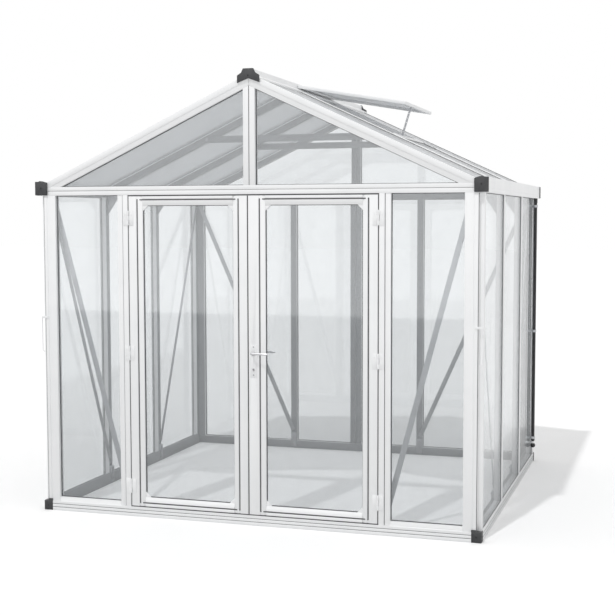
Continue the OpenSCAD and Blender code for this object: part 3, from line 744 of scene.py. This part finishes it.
def makeLever(name, faceY, tipY):
    # a round neck that turns into a flattened grip; drawn on the face at faceY, out to tipY
    out = 1 if tipY > faceY else -1
    rose = turned("rose", (leverX, faceY, leverZ), (leverX, faceY + out * lockSizes["roseHigh"], leverZ),
                  lockSizes["rose"], 32)
    soften(rose, 0.0018, 3)
    clearSelection()
    bpy.ops.mesh.primitive_circle_add(vertices=20, radius=lockSizes["neck"], fill_type="NOTHING",
                                      location=(leverX, faceY, leverZ), rotation=(turn(90), 0, 0))
    arm = settle("arm")
    straight = abs(tipY - faceY) - lockSizes["grip"] - lockSizes["bend"]
    bpy.ops.object.mode_set(mode="EDIT")
    bpy.ops.mesh.select_all(action="SELECT")
    bpy.ops.mesh.extrude_edges_move(TRANSFORM_OT_translate={"value": (0, out * straight, 0)})
    bpy.ops.mesh.spin(steps=7, angle=turn(90) * out, dupli=False,
                      center=(leverX + lockSizes["bend"], faceY + out * straight, leverZ), axis=(0, 0, 1))
    reach = leverHigh[0] - leverX - lockSizes["bend"]
    tip = Vector((leverHigh[0], faceY + out * (straight + lockSizes["bend"]), leverZ))
    for share, wide, deep in ((0.12, 1.0, 1.0), (0.45, 0.96, 0.86), (0.38, 0.92, 0.84), (0.05, 0.75, 0.7)):
        bpy.ops.mesh.extrude_edges_move(TRANSFORM_OT_translate={"value": (reach * share, 0, 0)})
        bpy.ops.transform.resize(value=(1, deep, wide))
    bpy.ops.mesh.edge_face_add()
    bpy.ops.mesh.select_all(action="SELECT")
    bpy.ops.mesh.normals_make_consistent(inside=False)
    bpy.ops.object.mode_set(mode="OBJECT")
    bpy.ops.object.shade_smooth_by_angle(angle=turn(40))
    return joined(name, [arm, rose])


outside = makeLever("leverOutside", plateLow[1], leverLow[1])
inside = makeLever("leverInside", plateHigh[1], leverHigh[1])
spindle = turned("spindle", (leverX, plateLow[1] - 0.004, leverZ), (leverX, plateHigh[1] + 0.004, leverZ), 0.005, 4)
lever = joined("doorLever", [outside, inside, spindle])
dress(lever, "handleSteel", None, ["door_lever"])
print("lever bent")

# ---- downpipe ----

pipeSizes = {"collarHigh": 0.030, "collarOut": 0.0018, "beadUp": 0.012, "beadHigh": 0.008, "wall": 0.0016}
pipeLow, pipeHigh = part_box("downpipe")
pipeX, pipeY = (pipeLow[0] + pipeHigh[0]) / 2, (pipeLow[1] + pipeHigh[1]) / 2
pipeR = (pipeHigh[1] - pipeLow[1]) / 2
pipe = turned("downpipe", (pipeX, pipeY, pipeLow[2]), (pipeX, pipeY, pipeHigh[2]), pipeR - pipeSizes["collarOut"], 32)
cuts = [pipeLow[2] + pipeSizes["beadUp"], pipeLow[2] + pipeSizes["beadUp"] + pipeSizes["beadHigh"],
        pipeHigh[2] - pipeSizes["collarHigh"]]
pick(pipe)
bpy.ops.object.mode_set(mode="EDIT")
for height in cuts:
    bpy.ops.mesh.select_all(action="SELECT")
    bpy.ops.mesh.bisect(plane_co=(0, 0, height), plane_no=(0, 0, 1))
chooseFaces(pipe, lambda face: abs(face.normal.z) < 0.5 and (face.center.z > cuts[2] or cuts[0] < face.center.z < cuts[1]))
pushFaces(pipeSizes["collarOut"])
chooseFaces(pipe, lambda face: face.normal.z < -0.9 and face.center.z < pipeLow[2] + 0.001)
bpy.ops.mesh.inset(thickness=pipeSizes["wall"])
pushFaces(-0.008)
bpy.ops.object.mode_set(mode="OBJECT")
soften(pipe, 0.0005, 1)
dress(pipe, "blackPipe", None, ["downpipe"])
ring = turned("pipeRing", (pipeX, pipeY, pipeLow[2] - 0.010), (pipeX, pipeY, pipeLow[2] + 0.004), pipeR - 0.0006, 32)
chooseFaces(ring, lambda face: abs(face.normal.z) < 0.5)
bpy.ops.mesh.inset(thickness=0.003, use_boundary=True)
pushFaces(-0.001)
bpy.ops.object.mode_set(mode="OBJECT")
soften(ring, 0.0006, 1)
dress(ring, "paleAluminium", "house")
print("downpipe hung")

# ---- vent stay ----

staySizes = {"holes": 5, "hole": 0.0028, "wide": 0.012, "thick": 0.004}
stay = workedCopy("vent_stay", "ventStay")
solid = [vertex.co.copy() for vertex in stay.data.vertices]
tall = sorted(solid, key=lambda spot: spot.z)
foot, head = middle(tall[:4]), middle(tall[-4:])
drills = [turned("drill", foot.lerp(head, 0.14 + 0.16 * count) - Vector((0, 0.01, 0)),
                 foot.lerp(head, 0.14 + 0.16 * count) + Vector((0, 0.01, 0)), staySizes["hole"], 12)
          for count in range(staySizes["holes"])]
drill = joined("drills", drills)
pick(stay)
cut = stay.modifiers.new("holes", "BOOLEAN")
cut.object = drill
cut.operation = "DIFFERENCE"
bpy.ops.object.modifier_apply(modifier=cut.name)
drop(drill)
soften(stay, 0.0004, 1)
dress(stay, "millAluminium", None, ["vent_stay"])
print("vent stay drilled")

drop(bolt, screw)

# ---- floor, light and camera ----

floorLook = {"low": (-40, -14.5), "high": (40, 55), "seen": 0.985, "glow": 0.03, "bounce": 0.86, "mirrored": 0.42, "beside": 0.92,
             "room": (1.22, 1.10), "paintedRoomLight": 0.13}
lightLook = {"sky": 0.78, "sun": 1.0, "sunAngle": 1.6, "sunWay": (0.145, 0.68, -1.0)}

clearSelection()
spread = Vector(floorLook["high"]) - Vector(floorLook["low"])
centre = (Vector(floorLook["high"]) + Vector(floorLook["low"])) / 2
bpy.ops.mesh.primitive_plane_add(size=1, location=(centre.x, centre.y, -0.0005))
bpy.context.object.scale = (spread.x, spread.y, 1)
floor = settle("floor")
ground = newFinish("ground")
ray = Wire.node("LightPath", out=0)
mirrored = Wire.node("LightPath", out=3)
seen = Wire.node("BsdfDiffuse", None, {"Color": (*[floorLook["seen"]] * 3, 1)})
east, north = [Wire.node("SeparateXYZ", None, {0: place()}, out=axis) for axis in (0, 1)]
# painted light: the floor inside the room glows brighter than the floor outside
paintedLightPatch = (Wire.node("Math", {"operation": "LESS_THAN"}, {0: Wire.node("Math", {"operation": "ABSOLUTE"}, {0: east}),
                                                          1: floorLook["room"][0]})
           * Wire.node("Math", {"operation": "LESS_THAN"}, {0: Wire.node("Math", {"operation": "ABSOLUTE"}, {0: north}),
                                                            1: floorLook["room"][1]}))
evenGlowAndPaintedLight = paintedLightPatch * floorLook["paintedRoomLight"] + floorLook["glow"]
glow = Wire.node("Emission", None, {"Color": (1, 1, 1, 1), "Strength": evenGlowAndPaintedLight})
lit = Wire.node("AddShader", None, {0: seen, 1: glow})
dull = Wire.node("BsdfDiffuse", None, {"Color": (*[floorLook["bounce"]] * 3, 1)})
beside = between(east, 1.2, 1.5)
grey = Wire.node("BsdfDiffuse", None, {"Color": shade(beside, [floorLook["mirrored"]] * 3, [floorLook["beside"]] * 3)})
unseen = Wire.node("MixShader", None, {0: mirrored, 1: dull, 2: grey})
surface(Wire.node("MixShader", None, {0: ray, 1: unseen, 2: lit}))
floor.data.materials.append(ground)

world = bpy.data.worlds.new("studio")
bpy.context.scene.world = world
world.use_nodes = True
world.node_tree.nodes.clear()
Wire.tree = world.node_tree
cameraRay = Wire.node("LightPath", out=0)
mirrorRay = Wire.node("LightPath", out=3)
strength = Wire.node("Math", {"operation": "MAXIMUM"}, {0: cameraRay, 1: mirrorRay}) * (1.0 - lightLook["sky"]) + lightLook["sky"]
back = Wire.node("Background", None, {"Color": (1, 1, 1, 1), "Strength": strength})
made = world.node_tree.nodes.new("ShaderNodeOutputWorld")
world.node_tree.links.new(back.socket, made.inputs["Surface"])

sunData = bpy.data.lights.new("key", "SUN")
sunData.energy = lightLook["sun"]
sunData.angle = turn(lightLook["sunAngle"])
sun = bpy.data.objects.new("key", sunData)
bpy.context.collection.objects.link(sun)
sun.rotation_euler = Vector(lightLook["sunWay"]).to_track_quat("-Z", "Y").to_euler()

view = {"place": (2.2127, -7.1353, 1.6549), "left": 0.303, "down": 0.074, "roll": -0.0018, "lens": 70.86}
cameraData = bpy.data.cameras.new("camera")
cameraData.lens = view["lens"]
cameraData.sensor_width = 36
camera = bpy.data.objects.new("camera", cameraData)
bpy.context.collection.objects.link(camera)
camera.location = view["place"]
camera.rotation_euler = (Matrix.Rotation(view["left"], 3, "Z") @ Matrix.Rotation(turn(90) - view["down"], 3, "X")
                         @ Matrix.Rotation(view["roll"], 3, "Z")).to_euler()
bpy.context.scene.camera = camera
bpy.context.scene.view_settings.view_transform = "Standard"
print("studio set")
